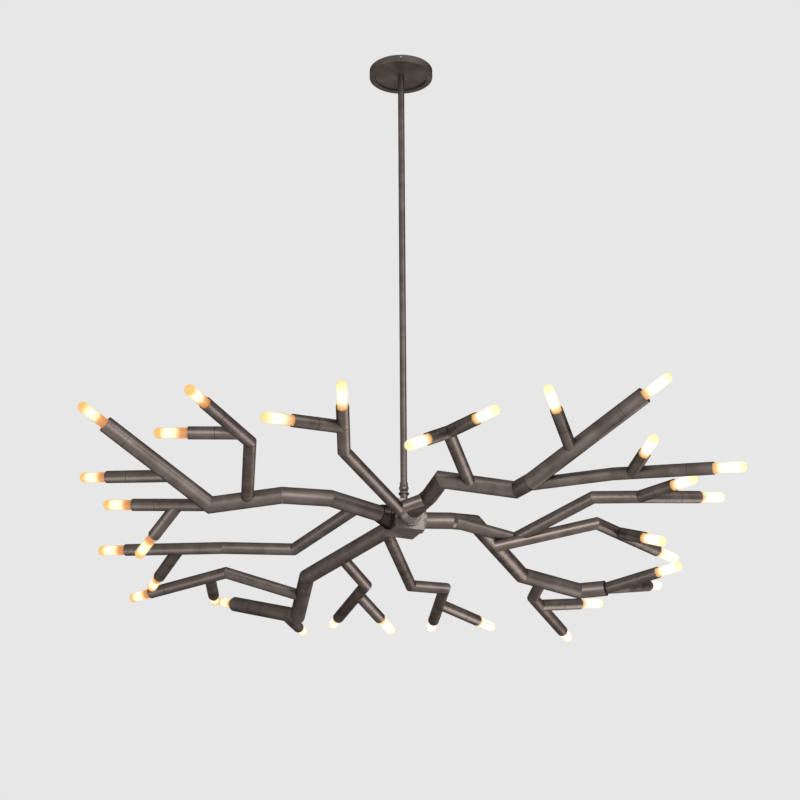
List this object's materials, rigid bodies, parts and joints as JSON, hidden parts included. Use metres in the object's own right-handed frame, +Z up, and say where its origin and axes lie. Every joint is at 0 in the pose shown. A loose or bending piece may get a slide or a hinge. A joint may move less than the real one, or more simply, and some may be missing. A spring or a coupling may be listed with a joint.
{
  "type": "branch chandelier",
  "caption": "Branching tube chandelier on a ceiling rod, with a square hub, a ball swivel and frosted tubular lamps at the branch ends.",
  "frame": {"origin": "middle of the ceiling plate's top face, on the rod's axis, in the ceiling plane", "axes": "+Z up along the rod, +X to the right in the usual view, +Y away from the viewer"},
  "size_m": [1.2017, 1.2504, 1.0291],
  "materials": {
    "bronze": "satin",
    "plated_steel": "satin",
    "brass": "satin",
    "frosted_glass": "satin",
    "light_rod": "satin",
    "ceramic": "satin",
    "nylon": "matte",
    "black_cable": "matte",
    "copper_lead": "matte"
  },
  "bodies": {
    "ceiling_mount": {"mounting_plate": "plated_steel", "rod_coupling": "plated_steel", "coupling_set_screw": "plated_steel", "ground_screw": "brass", "supply_terminal": "nylon", "supply_cable": "black_cable", "downrod": "bronze", "swivel_housing": "bronze"},
    "canopy": {"canopy": "bronze", "canopy_grub_screws": "plated_steel"},
    "swivel_tilt_x": {"ball_liner_upper": "nylon"},
    "swivel_tilt_y": {"ball_liner_lower": "nylon"},
    "chandelier": {"ball_stud": "bronze", "stud_nut": "plated_steel", "hub_top_plate": "bronze", "hub_top_screws": "plated_steel", "hub_block": "bronze", "hub_cable": "black_cable", "splice_block": "nylon", "boss_left": "bronze", "boss_back": "bronze", "boss_right": "bronze", "boss_front": "bronze", "boss_ring_nuts": "plated_steel", "boss_set_screws": "plated_steel", "limb_1_trunk": "bronze", "limb_1_twigs": "bronze", "limb_2": "bronze", "limb_3_trunk": "bronze", "limb_3_twigs": "bronze", "limb_4": "bronze", "limb_5": "bronze", "limb_6_main": "bronze", "limb_6_twigs": "bronze", "limb_7_root": "bronze", "limb_7_upper": "bronze", "limb_7_lower": "bronze", "limb_8_trunk": "bronze", "limb_8_twigs": "bronze", "limb_8_side": "bronze", "limb_9": "bronze", "sleeves_left": "bronze", "sleeves_back": "bronze", "sleeves_right": "bronze", "sleeves_front": "bronze", "bulbs_left": "frosted_glass", "bulbs_back": "frosted_glass", "bulbs_right": "frosted_glass", "bulbs_front": "frosted_glass", "bulb_caps": "brass", "light_rods": "light_rod", "lampholders": "ceramic", "sleeve_spigots": "plated_steel", "leads_left": "copper_lead", "leads_back": "copper_lead", "leads_right": "copper_lead", "leads_front": "copper_lead"}
  },
  "joints": [
    {"name": "canopy_slide", "type": "slide", "parent": "ceiling_mount", "child": "canopy", "axis": [0, 0, -1], "range_m": [0, 0.25]},
    {"name": "swivel_x", "type": "hinge", "parent": "ceiling_mount", "child": "swivel_tilt_x", "pos_m": [0, 0, -0.902], "axis": [1, 0, 0], "range_deg": [-10, 10]},
    {"name": "swivel_y", "type": "hinge", "parent": "swivel_tilt_x", "child": "swivel_tilt_y", "pos_m": [0, 0, -0.902], "axis": [0, 1, 0], "range_deg": [-10, 10]},
    {"name": "hub_turn", "type": "hinge", "parent": "swivel_tilt_y", "child": "chandelier", "pos_m": [0, 0, -0.902], "axis": [0, 0, 1], "range_deg": [-175, 175]}
  ]
}
